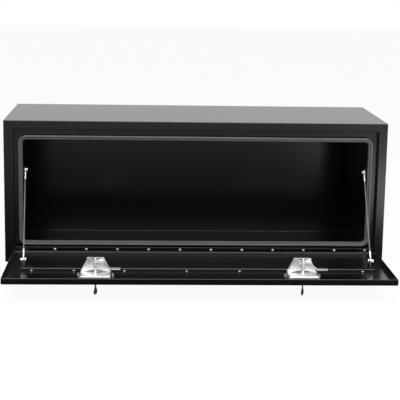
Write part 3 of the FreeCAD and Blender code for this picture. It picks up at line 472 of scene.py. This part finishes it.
def makeRopeTree():
    tree, given, out = newTree("layUpRope", {
        "Strands": "Int", "Strand Radius": "Float", "Strand Offset": "Float", "Lay Length": "Float",
        "Step Length": "Float", "Side": "Vector", "Up": "Vector", "Finish": "Material"})
    link = tree.links.new
    fine = addNode(tree, "GeometryNodeResampleCurve", mode="LENGTH")
    link(given.outputs["Geometry"], fine.inputs["Curve"])
    link(given.outputs["Step Length"], fine.inputs["Length"])
    copies = addNode(tree, "GeometryNodeDuplicateElements", domain="SPLINE")
    link(fine.outputs["Curve"], copies.inputs["Geometry"])
    link(given.outputs["Strands"], copies.inputs["Amount"])
    along = tree.nodes.new("GeometryNodeSplineParameter")

    def maths(operation, first, second):
        node = addNode(tree, "ShaderNodeMath", operation=operation)
        for socket, value in zip(node.inputs, (first, second)):
            if isinstance(value, (int, float)):
                socket.default_value = value
            else:
                link(value, socket)
        return node.outputs[0]

    def scaledVector(vector, amount):
        node = addNode(tree, "ShaderNodeVectorMath", operation="SCALE")
        link(vector, node.inputs[0])
        link(amount, node.inputs["Scale"])
        return node.outputs[0]

    turns = maths("DIVIDE", along.outputs["Length"], given.outputs["Lay Length"])
    share = maths("DIVIDE", copies.outputs["Duplicate Index"], given.outputs["Strands"])
    angle = maths("MULTIPLY", maths("ADD", turns, share), 2 * math.pi)
    sideways = scaledVector(given.outputs["Side"], maths("COSINE", angle, 0))
    upwards = scaledVector(given.outputs["Up"], maths("SINE", angle, 0))
    total = addNode(tree, "ShaderNodeVectorMath", operation="ADD")
    link(sideways, total.inputs[0])
    link(upwards, total.inputs[1])
    laid = tree.nodes.new("GeometryNodeSetPosition")
    link(copies.outputs["Geometry"], laid.inputs["Geometry"])
    link(scaledVector(total.outputs[0], given.outputs["Strand Offset"]), laid.inputs["Offset"])
    both = tree.nodes.new("GeometryNodeJoinGeometry")
    link(laid.outputs["Geometry"], both.inputs["Geometry"])
    link(fine.outputs["Curve"], both.inputs["Geometry"])
    wire = addNode(tree, "GeometryNodeCurvePrimitiveCircle", Resolution=7)
    link(given.outputs["Strand Radius"], wire.inputs["Radius"])
    tube = tree.nodes.new("GeometryNodeCurveToMesh")
    tube.inputs["Fill Caps"].default_value = True
    link(both.outputs["Geometry"], tube.inputs["Curve"])
    link(wire.outputs["Curve"], tube.inputs["Profile Curve"])
    real = tree.nodes.new("GeometryNodeRealizeInstances")
    link(tube.outputs["Mesh"], real.inputs["Geometry"])
    finish = tree.nodes.new("GeometryNodeSetMaterial")
    link(real.outputs["Geometry"], finish.inputs["Geometry"])
    link(given.outputs["Finish"], finish.inputs["Material"])
    link(finish.outputs["Geometry"], out.inputs["Geometry"])
    return tree


standOnPoints = makeStandingTree()
layUpRope = makeRopeTree()


def grown(tree, start, name, values):
    # Runs a tree on a mesh or curve and gives the result as a plain mesh, in metres
    item = bpy.data.objects.new(name, start)
    bpy.context.scene.collection.objects.link(item)
    modifier = item.modifiers.new("grow", "NODES")
    modifier.node_group = tree
    keys = {socket.name: socket.identifier for socket in tree.interface.items_tree
            if socket.in_out == "INPUT"}
    for label, value in values.items():
        modifier[keys[label]] = value
    mesh = evaluated(item)
    bpy.data.objects.remove(item)
    return mesh


def standing(name, points, piece, turn, finish, body, nodes=(), unevenTurn=0.0):
    cloud = bpy.data.meshes.new(name + "Points")
    cloud.from_pydata([Vector(point) * mm for point in points], [], [])
    source = bpy.data.objects.new(name + "Source", piece)
    mesh = grown(standOnPoints, cloud, name + "Grown", {
        "Piece": source, "Turn": turn, "Uneven Turn": unevenTurn, "Finish": finish})
    bpy.data.objects.remove(source)
    return keep(name, smoothShaded(mesh, 40), finish, body, nodes)


# Domed rivets with the broken-off mandrel in the middle of each head

rivet = {
    "head": 4.6, "rim": 0.25, "dome": 2.2, "domeFrom": 15, "domeSteps": 6, "shank": 2.4, "edge": 0.2,
    "mandrel": 1.25, "dimple": 0.75, "around": 28, "hingeGrip": 3.2, "panelGrip": 1.5,
    "panelPlaces": (-503, -376, -224, -36, 124, 500),
}


def rivetMesh(spec, grip):
    edge, rim, steps = spec["edge"], spec["rim"], spec["domeSteps"]
    outline = [(spec["shank"] * 0.6, -grip), (spec["shank"], -grip + edge), (spec["shank"], 0),
               (spec["head"] - edge, 0), (spec["head"], rim)]
    for step in range(1, steps):
        turn = math.radians(spec["domeFrom"] + (90 - spec["domeFrom"]) * step / steps)
        outline.append((spec["head"] * math.cos(turn) ** 0.9, rim + (spec["dome"] - rim) * math.sin(turn)))
    outline += [(spec["mandrel"], spec["dome"]), (spec["mandrel"] * 0.9, spec["dome"] - spec["dimple"]),
                (spec["mandrel"] * 0.5, spec["dome"] - spec["dimple"] + edge)]
    shape = bmesh.new()
    loft(shape, [circleRing(radius, height, spec["around"]) for radius, height in outline])
    return finishedMesh(shape, "rivet")


def rowOf(node, count, y, z):
    low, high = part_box(node)
    first = low.x / mm + rivet["head"]
    pitch = (high.x / mm - rivet["head"] - first) / (count - 1)
    return [(first + pitch * index, y, z) for index in range(count)]


doorRivetBox = [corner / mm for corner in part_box("door_leaf_rivets")]
frameRivetBox = [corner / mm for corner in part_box("frame_leaf_rivets")]
panelRivetBox = [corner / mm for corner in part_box("inner_panel_rivets")]
hingeRivetRows = {
    # node: how many, its y and z, the way its heads point, its body
    "door_leaf_rivets": (12, doorRivetBox[0].y + rivet["dome"], centreOf("door_leaf_rivets").z,
                         (math.radians(90), 0, 0), "door"),
    "frame_leaf_rivets": (11, centreOf("frame_leaf_rivets").y, frameRivetBox[0].z + rivet["dome"],
                          (math.radians(180), 0, 0), "box"),
}
for node, (count, y, z, turn, body) in hingeRivetRows.items():
    standing(camel(node) + "Piece", rowOf(node, count, y, z), rivetMesh(rivet, rivet["hingeGrip"]), turn,
             rivetAluminium, body, [node])
panelRivetPlaces = [(x, centreOf("inner_panel_rivets").y, panelRivetBox[1].z - rivet["dome"])
                    for x in rivet["panelPlaces"]]
standing("innerPanelRivetsPiece", panelRivetPlaces, rivetMesh(rivet, rivet["panelGrip"]), (0, 0, 0),
         rivetAluminium, "door", ["inner_panel_rivets"])
print("rivets done")


# Weld tacks: where the strips meet the recess walls, and on the base inside

weldTack = {
    "radius": 2.6, "height": 1.3, "foot": -0.3, "around": 14, "domeSteps": 4, "domeTo": 86,
    "lump": 0.3, "unevenTurn": 0.8, "sheet": 2,
    "stripTacks": ((579, 413), (575, 68.5)), "baseTacks": ((553, 196),),
}


def tackMesh(spec):
    shape = bmesh.new()
    rings = []
    for step in range(spec["domeSteps"] + 1):
        turn = math.radians(spec["domeTo"] * step / spec["domeSteps"])
        rings.append([Vector((point.x * (1 + spec["lump"] * math.sin(3 * point.y)), point.y, point.z))
                      for point in circleRing(spec["radius"] * math.cos(turn),
                                              spec["height"] * math.sin(turn), spec["around"])])
    rings.insert(0, [Vector((point.x, point.y, spec["foot"])) for point in rings[0]])
    loft(shape, rings)
    return finishedMesh(shape, "tack", 60)


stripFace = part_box("top_seal_strip")[1].y / mm - weldTack["sheet"]
stripPlaces = [(sign * x, stripFace, z) for sign in sides.values() for x, z in weldTack["stripTacks"]]
basePlaces = [(sign * x, y, weldTack["sheet"]) for sign in sides.values() for x, y in weldTack["baseTacks"]]
for name, places, turn in (("stripWeldTacks", stripPlaces, (math.radians(90), 0, 0)),
                           ("baseWeldTacks", basePlaces, (0, 0, 0))):
    standing(name, places, tackMesh(weldTack), turn, materials["black_powder"], "box",
             unevenTurn=weldTack["unevenTurn"])
print("weld tacks done")


# Door cables: seven-strand wire rope between two swaged eyes

doorCable = {
    "strands": 6, "strandRadius": 0.583, "strandOffset": 1.166, "layLength": 23, "stepLength": 1.5,
    "eyeRadius": 7.5, "eyeHole": 3.1, "eyeHalf": 1.5, "eyeEdge": 0.45, "around": 32,
    "tongueStart": 5.5, "tongueEnd": 11.5, "tongueHalf": 3.25, "barrelStart": 15, "barrelEnd": 34.5, "tip": 36,
    "barrelRadius": 3.0, "crimps": (19, 24, 29), "crimpDepth": 0.35, "crimpHalf": 1.6, "crimpFlat": 0.9,
    "tipRadius": 2.2, "socket": 16,
}


def cableEnds(side):
    # The two eye centres, from the bolts that carry them and the CAD rope's line
    sign = sides[side]
    low, high = [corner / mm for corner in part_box(side + "_cable_ends")]
    half = doorCable["eyeHalf"]
    outerX, innerX = (high.x, low.x) if sign > 0 else (low.x, high.x)
    anchorBolt, doorBolt = centreOf("tab_bolts"), centreOf("bracket_bolts")
    anchor = Vector((outerX - sign * half, anchorBolt.y, anchorBolt.z))
    doorEye = Vector((innerX + sign * half, doorBolt.y, doorBolt.z))
    return anchor, doorEye


def eyeShape(shape, centre, spec):
    place = placing(centre, (1, 0, 0))
    edge, half = spec["eyeEdge"], spec["eyeHalf"]
    outline = [(spec["eyeHole"], half - edge), (spec["eyeHole"] + edge, half), (spec["eyeRadius"] - edge, half),
               (spec["eyeRadius"], half - edge), (spec["eyeRadius"], edge - half),
               (spec["eyeRadius"] - edge, -half), (spec["eyeHole"] + edge, -half), (spec["eyeHole"], edge - half)]
    loft(shape, [circleRing(radius, height, spec["around"], place) for radius, height in outline], looped=True)


def swageShape(shape, centre, direction, spec):
    # A flat tongue that turns into the round barrel over the rope's end
    sideways = Vector((1, 0, 0))
    upwards = direction.cross(sideways).normalized()
    stations = [(spec["tongueStart"], spec["tongueHalf"], spec["eyeHalf"], 6),
                (spec["tongueEnd"], spec["tongueHalf"], spec["eyeHalf"], 6),
                (spec["barrelStart"] - 1.4, spec["tongueHalf"] * 0.97, spec["barrelRadius"] * 0.85, 3),
                (spec["barrelStart"], spec["barrelRadius"], spec["barrelRadius"], 2)]
    full, pressed = spec["barrelRadius"], spec["barrelRadius"] - spec["crimpDepth"]
    for crimp in spec["crimps"]:
        for offset, radius in ((-spec["crimpHalf"], full), (-spec["crimpFlat"], pressed),
                               (spec["crimpFlat"], pressed), (spec["crimpHalf"], full)):
            stations.append((crimp + offset, radius, radius, 2))
    stations += [(spec["barrelEnd"], full, full, 2),
                 (spec["tip"], spec["tipRadius"], spec["tipRadius"], 2)]
    rings = []
    for distance, wide, thick, power in stations:
        ring = []
        for step in range(spec["around"]):
            turn = 2 * math.pi * step / spec["around"]
            cosine, sine = math.cos(turn), math.sin(turn)
            ring.append(centre + direction * distance
                        + upwards * wide * math.copysign(abs(cosine) ** (2 / power), cosine)
                        + sideways * thick * math.copysign(abs(sine) ** (2 / power), sine))
        rings.append(ring)
    loft(shape, rings)


def makeCable(side, spec):
    anchor, doorEye = cableEnds(side)
    line = doorEye - anchor
    direction = line.normalized()
    reach = spec["tip"] - spec["socket"] * 0.5
    curve = bpy.data.curves.new(side + "Rope", "CURVE")
    curve.dimensions = "3D"
    spline = curve.splines.new("POLY")
    spline.points.add(1)
    for point, place in zip(spline.points, (anchor + direction * reach, doorEye - direction * reach)):
        point.co = (*(place * mm), 1)
    sideways = direction.cross(Vector((1, 0, 0))).normalized()
    mesh = grown(layUpRope, curve, side + "RopeGrown", {
        "Strands": spec["strands"], "Strand Radius": spec["strandRadius"] * mm,
        "Strand Offset": spec["strandOffset"] * mm, "Lay Length": spec["layLength"] * mm,
        "Step Length": spec["stepLength"] * mm, "Side": sideways, "Up": direction.cross(sideways),
        "Finish": ropeSteel})
    rope = keep(side + "CableRope", smoothShaded(mesh, 60), ropeSteel, None, [side + "_cable"])
    shape = bmesh.new()
    for centre, way in ((anchor, direction), (doorEye, -direction)):
        eyeShape(shape, centre, spec)
        swageShape(shape, centre, way, spec)
    ends = keep(side + "CableEyes", finishedMesh(shape, "eyes"), swageSteel, None, [side + "_cable_ends"])
    for item in (rope, ends):
        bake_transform(item)


for side in sides:
    makeCable(side, doorCable)
print("door cables done")


# Bolts, nuts and spindles, with rolled threads and chamfered hexagons

hexForm = {"steps": 36, "faceShare": 0.96, "chamferStart": 0.12, "chamferDrop": 0.5, "boreEdge": 0.3}


def hexRing(acrossFlats, height, turn=0.0):
    ring = []
    for step in range(hexForm["steps"]):
        angle = 2 * math.pi * step / hexForm["steps"]
        fromFlat = (angle + math.radians(30)) % math.radians(60) - math.radians(30)
        radius = acrossFlats / 2 / math.cos(fromFlat)
        ring.append(Vector((radius * math.cos(angle + turn), radius * math.sin(angle + turn), height)))
    return ring


def chamferRing(acrossFlats, height, drop, turn=0.0):
    # Where a cone cuts the hexagon's corners away, the corners end lower than the flats
    ring = hexRing(acrossFlats, height, turn)
    for point in ring:
        point.z = height - drop * (math.hypot(point.x, point.y) - acrossFlats / 2)
    return ring


def hexShape(shape, acrossFlats, low, high, bore, place, turn=0.0):
    steps, start, drop, edge = (hexForm[key] for key in ("steps", "chamferStart", "chamferDrop", "boreEdge"))
    faceRadius = acrossFlats / 2 * hexForm["faceShare"]
    rings = [circleRing(faceRadius, low, steps), chamferRing(acrossFlats, low + start, -drop, turn),
             chamferRing(acrossFlats, high - start, drop, turn), circleRing(faceRadius, high, steps)]
    if bore:
        rings += [circleRing(bore + edge, high, steps), circleRing(bore, high - edge, steps),
                  circleRing(bore, low + edge, steps), circleRing(bore + edge, low, steps)]
    loft(shape, [[place @ point for point in ring] for ring in rings], looped=bool(bore))


def threadShape(shape, radius, pitch, low, high, place, around=24, rowsPerTurn=6):
    depth = pitch * 0.5
    rows = int((high - low) / pitch * rowsPerTurn)
    rings = [circleRing(radius - depth, low, around)]
    for row in range(rows + 1):
        height = low + (high - low) * row / rows
        lead = min(1.0, (high - height) / pitch)
        ring = []
        for step in range(around):
            turn = step / around
            crest = abs(2 * ((height / pitch - turn) % 1) - 1)
            size = radius - depth + depth * crest * lead
            ring.append(Vector((size * math.cos(2 * math.pi * turn), size * math.sin(2 * math.pi * turn), height)))
        rings.append(ring)
    loft(shape, [[place @ point for point in ring] for ring in rings])


cableBolts = {
    "head": 4, "across": 10, "nut": 5, "nutClearance": 0.02, "nutTurn": 0.7, "radius": 3, "pitch": 1.0,
    "over": 1, "turns": (0.2, 0.5),
}


def headInner(node):
    # How far from the middle a bolt's head starts, read from its solid on the right side
    return min(vertex.co.x for vertex in cadNodes[node].data.vertices if vertex.co.x > 0) / mm


def makeCableBolts(node, nutNode, spec):
    bolts, nuts = bmesh.new(), bmesh.new()
    boltOut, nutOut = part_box(node)[1].x / mm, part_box(nutNode)[1].x / mm
    middle = centreOf(node)
    for sign, turn in zip(sides.values(), spec["turns"]):
        inner = Vector((sign * (boltOut - spec["over"] - spec["nut"]), middle.y, middle.z))
        place = placing(inner, (sign, 0, 0))
        headFoot = -(inner.x * sign - headInner(node))
        hexShape(bolts, spec["across"], headFoot, headFoot + spec["head"], 0, place, turn)
        smooth = [circleRing(spec["radius"], headFoot + spec["head"] - 0.2, 24),
                  circleRing(spec["radius"], -0.4, 24), circleRing(spec["radius"] - 0.5, 0, 24)]
        loft(bolts, [[place @ point for point in ring] for ring in smooth])
        threadShape(bolts, spec["radius"], spec["pitch"], -0.5, spec["nut"] + spec["over"], place)
        hexShape(nuts, spec["across"], 0, nutOut - inner.x * sign, spec["radius"] + spec["nutClearance"],
                 place, turn + spec["nutTurn"])
    keep(camel(node) + "Piece", finishedMesh(bolts, node), finishOf(node), bodyOf[node], [node])
    keep(camel(nutNode) + "Piece", finishedMesh(nuts, nutNode), finishOf(nutNode), bodyOf[nutNode], [nutNode])


makeCableBolts("bracket_bolts", "bracket_nuts", cableBolts)
makeCableBolts("tab_bolts", "tab_nuts", cableBolts)

latchNuts = {"studAcross": 7, "studBore": 2.02, "studTurn": 0.4, "camAcross": 13, "camBore": 3.8, "camTurn": 0.35}
spindle = {"radius": 4.5, "thread": 3.75, "threadLength": 13, "pitch": 1.25, "chamfer": 0.4}


def studPlaces(across):
    # The stud nuts stand at both sides of each latch
    middle = centreOf("latch_stud_nuts")
    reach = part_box("latch_stud_nuts")[1].x / mm - across / 3 ** 0.5 - centreOf("right_spindle").x
    return [(centreOf(side + "_spindle").x + way * reach, middle.y) for side in sides for way in (-1, 1)]


def makeStudNuts(spec):
    low, high = [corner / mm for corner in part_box("latch_stud_nuts")]
    shape = bmesh.new()
    for index, (x, y) in enumerate(studPlaces(spec["studAcross"])):
        hexShape(shape, spec["studAcross"], 0, high.z - low.z, spec["studBore"], placing((x, y, low.z)),
                 spec["studTurn"] * index)
    keep("latchStudNutsPiece", finishedMesh(shape, "studNuts"), finishOf("latch_stud_nuts"), "door",
         ["latch_stud_nuts"])


def makeSpindle(side, spec):
    node = side + "_spindle"
    low, high = [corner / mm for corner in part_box(node)]
    middle = centreOf(node)
    place = placing((middle.x, middle.y, 0))
    shoulder = high.z - spec["threadLength"]
    shape = bmesh.new()
    radius, chamfer = spec["radius"], spec["chamfer"]
    shank = [(radius - chamfer, low.z), (radius, low.z + chamfer), (radius, shoulder - 0.3), (radius - 0.3, shoulder)]
    loft(shape, [[place @ point for point in circleRing(size, height, 32)] for size, height in shank])
    threadShape(shape, spec["thread"], spec["pitch"], shoulder - 0.5, high.z, place, 28)
    keep(side + "SpindlePiece", finishedMesh(shape, node), finishOf(node), bodyOf[node], [node])


def makeCamNut(side, spec):
    node = side + "_cam_nut"
    low, high = [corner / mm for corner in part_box(node)]
    middle = centreOf(node)
    shape = bmesh.new()
    hexShape(shape, spec["camAcross"], 0, high.z - low.z, spec["camBore"], placing((middle.x, middle.y, low.z)),
             spec["camTurn"])
    keep(side + "CamNutPiece", finishedMesh(shape, node), finishOf(node), bodyOf[node], [node])


makeStudNuts(latchNuts)
for side in sides:
    makeSpindle(side, spindle)
    makeCamNut(side, latchNuts)
print("bolts, nuts and spindles done")


# Keys: a stamped blank with a ring hole and cuts along one side

key = {
    "bow": 10.25, "bowCentre": -47, "hole": 2.2, "holeDrop": 6.15, "bladeHalf": 3.5, "shoulderHalf": 5,
    "shoulderTop": -33.75, "tip": -5, "thickness": 2, "edge": 0.35, "angles": {"left": 64, "right": 62},
    "cuts": ((-9, 1.2), (-12.5, 2.0), (-16, 0.9), (-19.5, 1.7), (-23, 1.3)), "cutHalf": 1.1, "bowSteps": 40,
}


def keyOutline(spec):
    # From the blade's tip down its cut side, round the bow and up its back
    points = [(0, spec["tip"]), (spec["bladeHalf"] - 0.8, spec["tip"] - 1.6)]
    for height, depth in spec["cuts"]:
        points += [(spec["bladeHalf"], height + spec["cutHalf"] + depth * 0.8),
                   (spec["bladeHalf"] - depth, height + spec["cutHalf"] * 0.4),
                   (spec["bladeHalf"] - depth, height - spec["cutHalf"] * 0.4),
                   (spec["bladeHalf"], height - spec["cutHalf"] - depth * 0.8)]
    points += [(spec["bladeHalf"], spec["shoulderTop"]), (spec["shoulderHalf"], spec["shoulderTop"])]
    start = math.asin(spec["shoulderHalf"] / spec["bow"])
    for step in range(spec["bowSteps"] + 1):
        turn = start + (2 * math.pi - 2 * start) * step / spec["bowSteps"]
        points.append((spec["bow"] * math.sin(turn), spec["bowCentre"] + spec["bow"] * math.cos(turn)))
    points += [(-spec["shoulderHalf"], spec["shoulderTop"]), (-spec["bladeHalf"], spec["shoulderTop"]),
               (-spec["bladeHalf"], spec["tip"] - 3)]
    return points


def makeKey(side, spec):
    node = side + "_key"
    middle = centreOf(side + "_lock_plug")
    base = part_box(node)[0].z / mm - (spec["bowCentre"] - spec["bow"])
    curve = bpy.data.curves.new(node, "CURVE")
    curve.dimensions = "2D"
    curve.fill_mode = "BOTH"
    curve.extrude = (spec["thickness"] / 2 - spec["edge"]) * mm
    curve.bevel_depth = spec["edge"] * mm
    curve.bevel_resolution = 2
    curve.offset = -spec["edge"] * mm
    ringHole = [(spec["hole"] * math.cos(2 * math.pi * step / 24),
                 spec["bowCentre"] - spec["holeDrop"] + spec["hole"] * math.sin(2 * math.pi * step / 24))
                for step in range(24)]
    for outline in (keyOutline(spec), ringHole):
        spline = curve.splines.new("POLY")
        spline.points.add(len(outline) - 1)
        for point, (x, y) in zip(spline.points, outline):
            point.co = (x * mm, y * mm, 0, 1)
        spline.use_cyclic_u = True
    item = bpy.data.objects.new(node + "Rough", curve)
    bpy.context.scene.collection.objects.link(item)
    mesh = evaluated(item)
    bpy.data.objects.remove(item)
    shape = bmesh.new()
    shape.from_mesh(mesh)
    bmesh.ops.remove_doubles(shape, verts=shape.verts, dist=0.00001)
    bmesh.ops.recalc_face_normals(shape, faces=shape.faces)
    shape.to_mesh(mesh)
    shape.free()
    upright = Matrix.Rotation(math.radians(90), 4, "X")
    turned = Matrix.Rotation(math.radians(spec["angles"][side]), 4, "Z")
    mesh.transform(Matrix.Translation(Vector((middle.x, middle.y, base)) * mm) @ turned @ upright)
    keep(side + "KeyPiece", smoothShaded(mesh), finishOf(node), bodyOf[node], [node])


for side in sides:
    makeKey(side, key)
print("keys done")


# Camera, floor and light

view = {"position": (-0.17348, -3.96786, 0.94648), "yaw": 0.0498, "pitch": 0.1951, "roll": -0.0164,
        "focalPixels": 1192.3, "imagePixels": 400}


def makeCamera(spec):
    yaw, pitch, roll = spec["yaw"], spec["pitch"], spec["roll"]
    forward = Vector((math.sin(yaw) * math.cos(pitch), math.cos(yaw) * math.cos(pitch), -math.sin(pitch)))
    levelRight = Vector((math.cos(yaw), -math.sin(yaw), 0))
    levelDown = forward.cross(levelRight)
    right = levelRight * math.cos(roll) + levelDown * math.sin(roll)
    down = levelDown * math.cos(roll) - levelRight * math.sin(roll)
    data = bpy.data.cameras.new("camera")
    data.sensor_width = 36
    data.lens = 36 * spec["focalPixels"] / spec["imagePixels"]
    data.clip_start = 0.01
    data.clip_end = 200
    camera = bpy.data.objects.new("camera", data)
    turn = Matrix((right, -down, -forward)).transposed().to_4x4()
    camera.matrix_world = Matrix.Translation(Vector(spec["position"])) @ turn
    bpy.context.scene.collection.objects.link(camera)
    bpy.context.scene.camera = camera


studio = {
    "floorHeight": -0.0245, "floorSize": 30, "floorColour": (0.8, 0.8, 0.8), "floorWhite": 0.95,
    # the glow painted on the floor for what the part sees: painted shade round the box, brighter further out
    "dimReach": 0.8, "brightReach": 3.2, "floorDim": 0.04, "floorBright": 0.55,
    "diffuseLevel": 0.2, "glossLevel": 0.85,
    "lamps": [
        # name, position, aimed at, size, power
        ("frontStrip", (0.0, -3.0, 2.4), (0.0, -0.2, 0.1), (5.0, 1.0), 118),
        ("right", (2.6, -2.4, 0.22), (0.2, -0.3, 0.2), (2.0, 0.42), 16),
        ("lowRight", (1.58, -1.35, -0.02), (1.58, -1.35, 1.0), (1.6, 1.8), 30),
        ("above", (0.0, -0.8, 3.0), (0.0, -0.6, 0.0), (4.0, 3.0), 112),
    ],
}


def makeWorld(spec):
    world = bpy.data.worlds.new("studioWorld")
    bpy.context.scene.world = world
    world.use_nodes = True
    tree = world.node_tree
    tree.nodes.clear()
    path = tree.nodes.new("ShaderNodeLightPath")
    back = addNode(tree, "ShaderNodeBackground", Color=(1, 1, 1, 1))
    level = spread(tree, path.outputs["Is Glossy Ray"], spec["diffuseLevel"], spec["glossLevel"], 0, 1)
    seen = addNode(tree, "ShaderNodeMath", operation="MAXIMUM")
    tree.links.new(path.outputs["Is Camera Ray"], seen.inputs[0])
    tree.links.new(level, seen.inputs[1])
    tree.links.new(seen.outputs[0], back.inputs["Strength"])
    out = tree.nodes.new("ShaderNodeOutputWorld")
    tree.links.new(back.outputs[0], out.inputs[0])


def makeFloor(spec):
    half, height = spec["floorSize"] / 2, spec["floorHeight"]
    mesh = bpy.data.meshes.new("floor")
    mesh.from_pydata([(-half, -half, height), (half, -half, height), (half, half, height), (-half, half, height)],
                     [], [(0, 1, 2, 3)])
    floor = bpy.data.objects.new("floor", mesh)
    bpy.context.scene.collection.objects.link(floor)
    material, tree, shader = newMaterial("paleFloor")
    tree.nodes.remove(shader)
    path = tree.nodes.new("ShaderNodeLightPath")
    plain = addNode(tree, "ShaderNodeBsdfDiffuse", Color=(*spec["floorColour"], 1))
    white = addNode(tree, "ShaderNodeEmission", Color=(1, 1, 1, 1), Strength=1.0)
    seen = tree.nodes.new("ShaderNodeMixShader")
    seen.inputs[0].default_value = spec["floorWhite"]
    tree.links.new(plain.outputs[0], seen.inputs[1])
    tree.links.new(white.outputs[0], seen.inputs[2])
    coords = tree.nodes.new("ShaderNodeTexCoord")
    reach = addNode(tree, "ShaderNodeVectorMath", operation="LENGTH")
    tree.links.new(coords.outputs["Object"], reach.inputs[0])
    # painted light: for all but camera rays the floor glows, dim round the box as painted shade and brighter further
    # out
    paintedFloorGlow = addNode(tree, "ShaderNodeEmission", Color=(1, 1, 1, 1))
    tree.links.new(spread(tree, reach.outputs["Value"], spec["floorDim"], spec["floorBright"],
                          spec["dimReach"], spec["brightReach"]), paintedFloorGlow.inputs["Strength"])
    ground = tree.nodes.new("ShaderNodeMixShader")
    tree.links.new(path.outputs["Is Camera Ray"], ground.inputs[0])
    tree.links.new(paintedFloorGlow.outputs[0], ground.inputs[1])
    tree.links.new(seen.outputs[0], ground.inputs[2])
    tree.links.new(ground.outputs[0], tree.nodes["Material Output"].inputs[0])
    mesh.materials.append(material)


def makeLamps(spec):
    for name, position, target, size, power in spec["lamps"]:
        data = bpy.data.lights.new(name, "AREA")
        data.shape = "RECTANGLE"
        data.size, data.size_y = size
        data.energy = power
        lamp = bpy.data.objects.new(name, data)
        lamp.location = position
        lamp.visible_camera = False
        lamp.rotation_euler = (Vector(target) - Vector(position)).to_track_quat("-Z", "Y").to_euler()
        bpy.context.scene.collection.objects.link(lamp)


makeCamera(view)
makeWorld(studio)
makeFloor(studio)
makeLamps(studio)
bpy.context.scene.view_settings.view_transform = "Standard"
print("camera and light done")
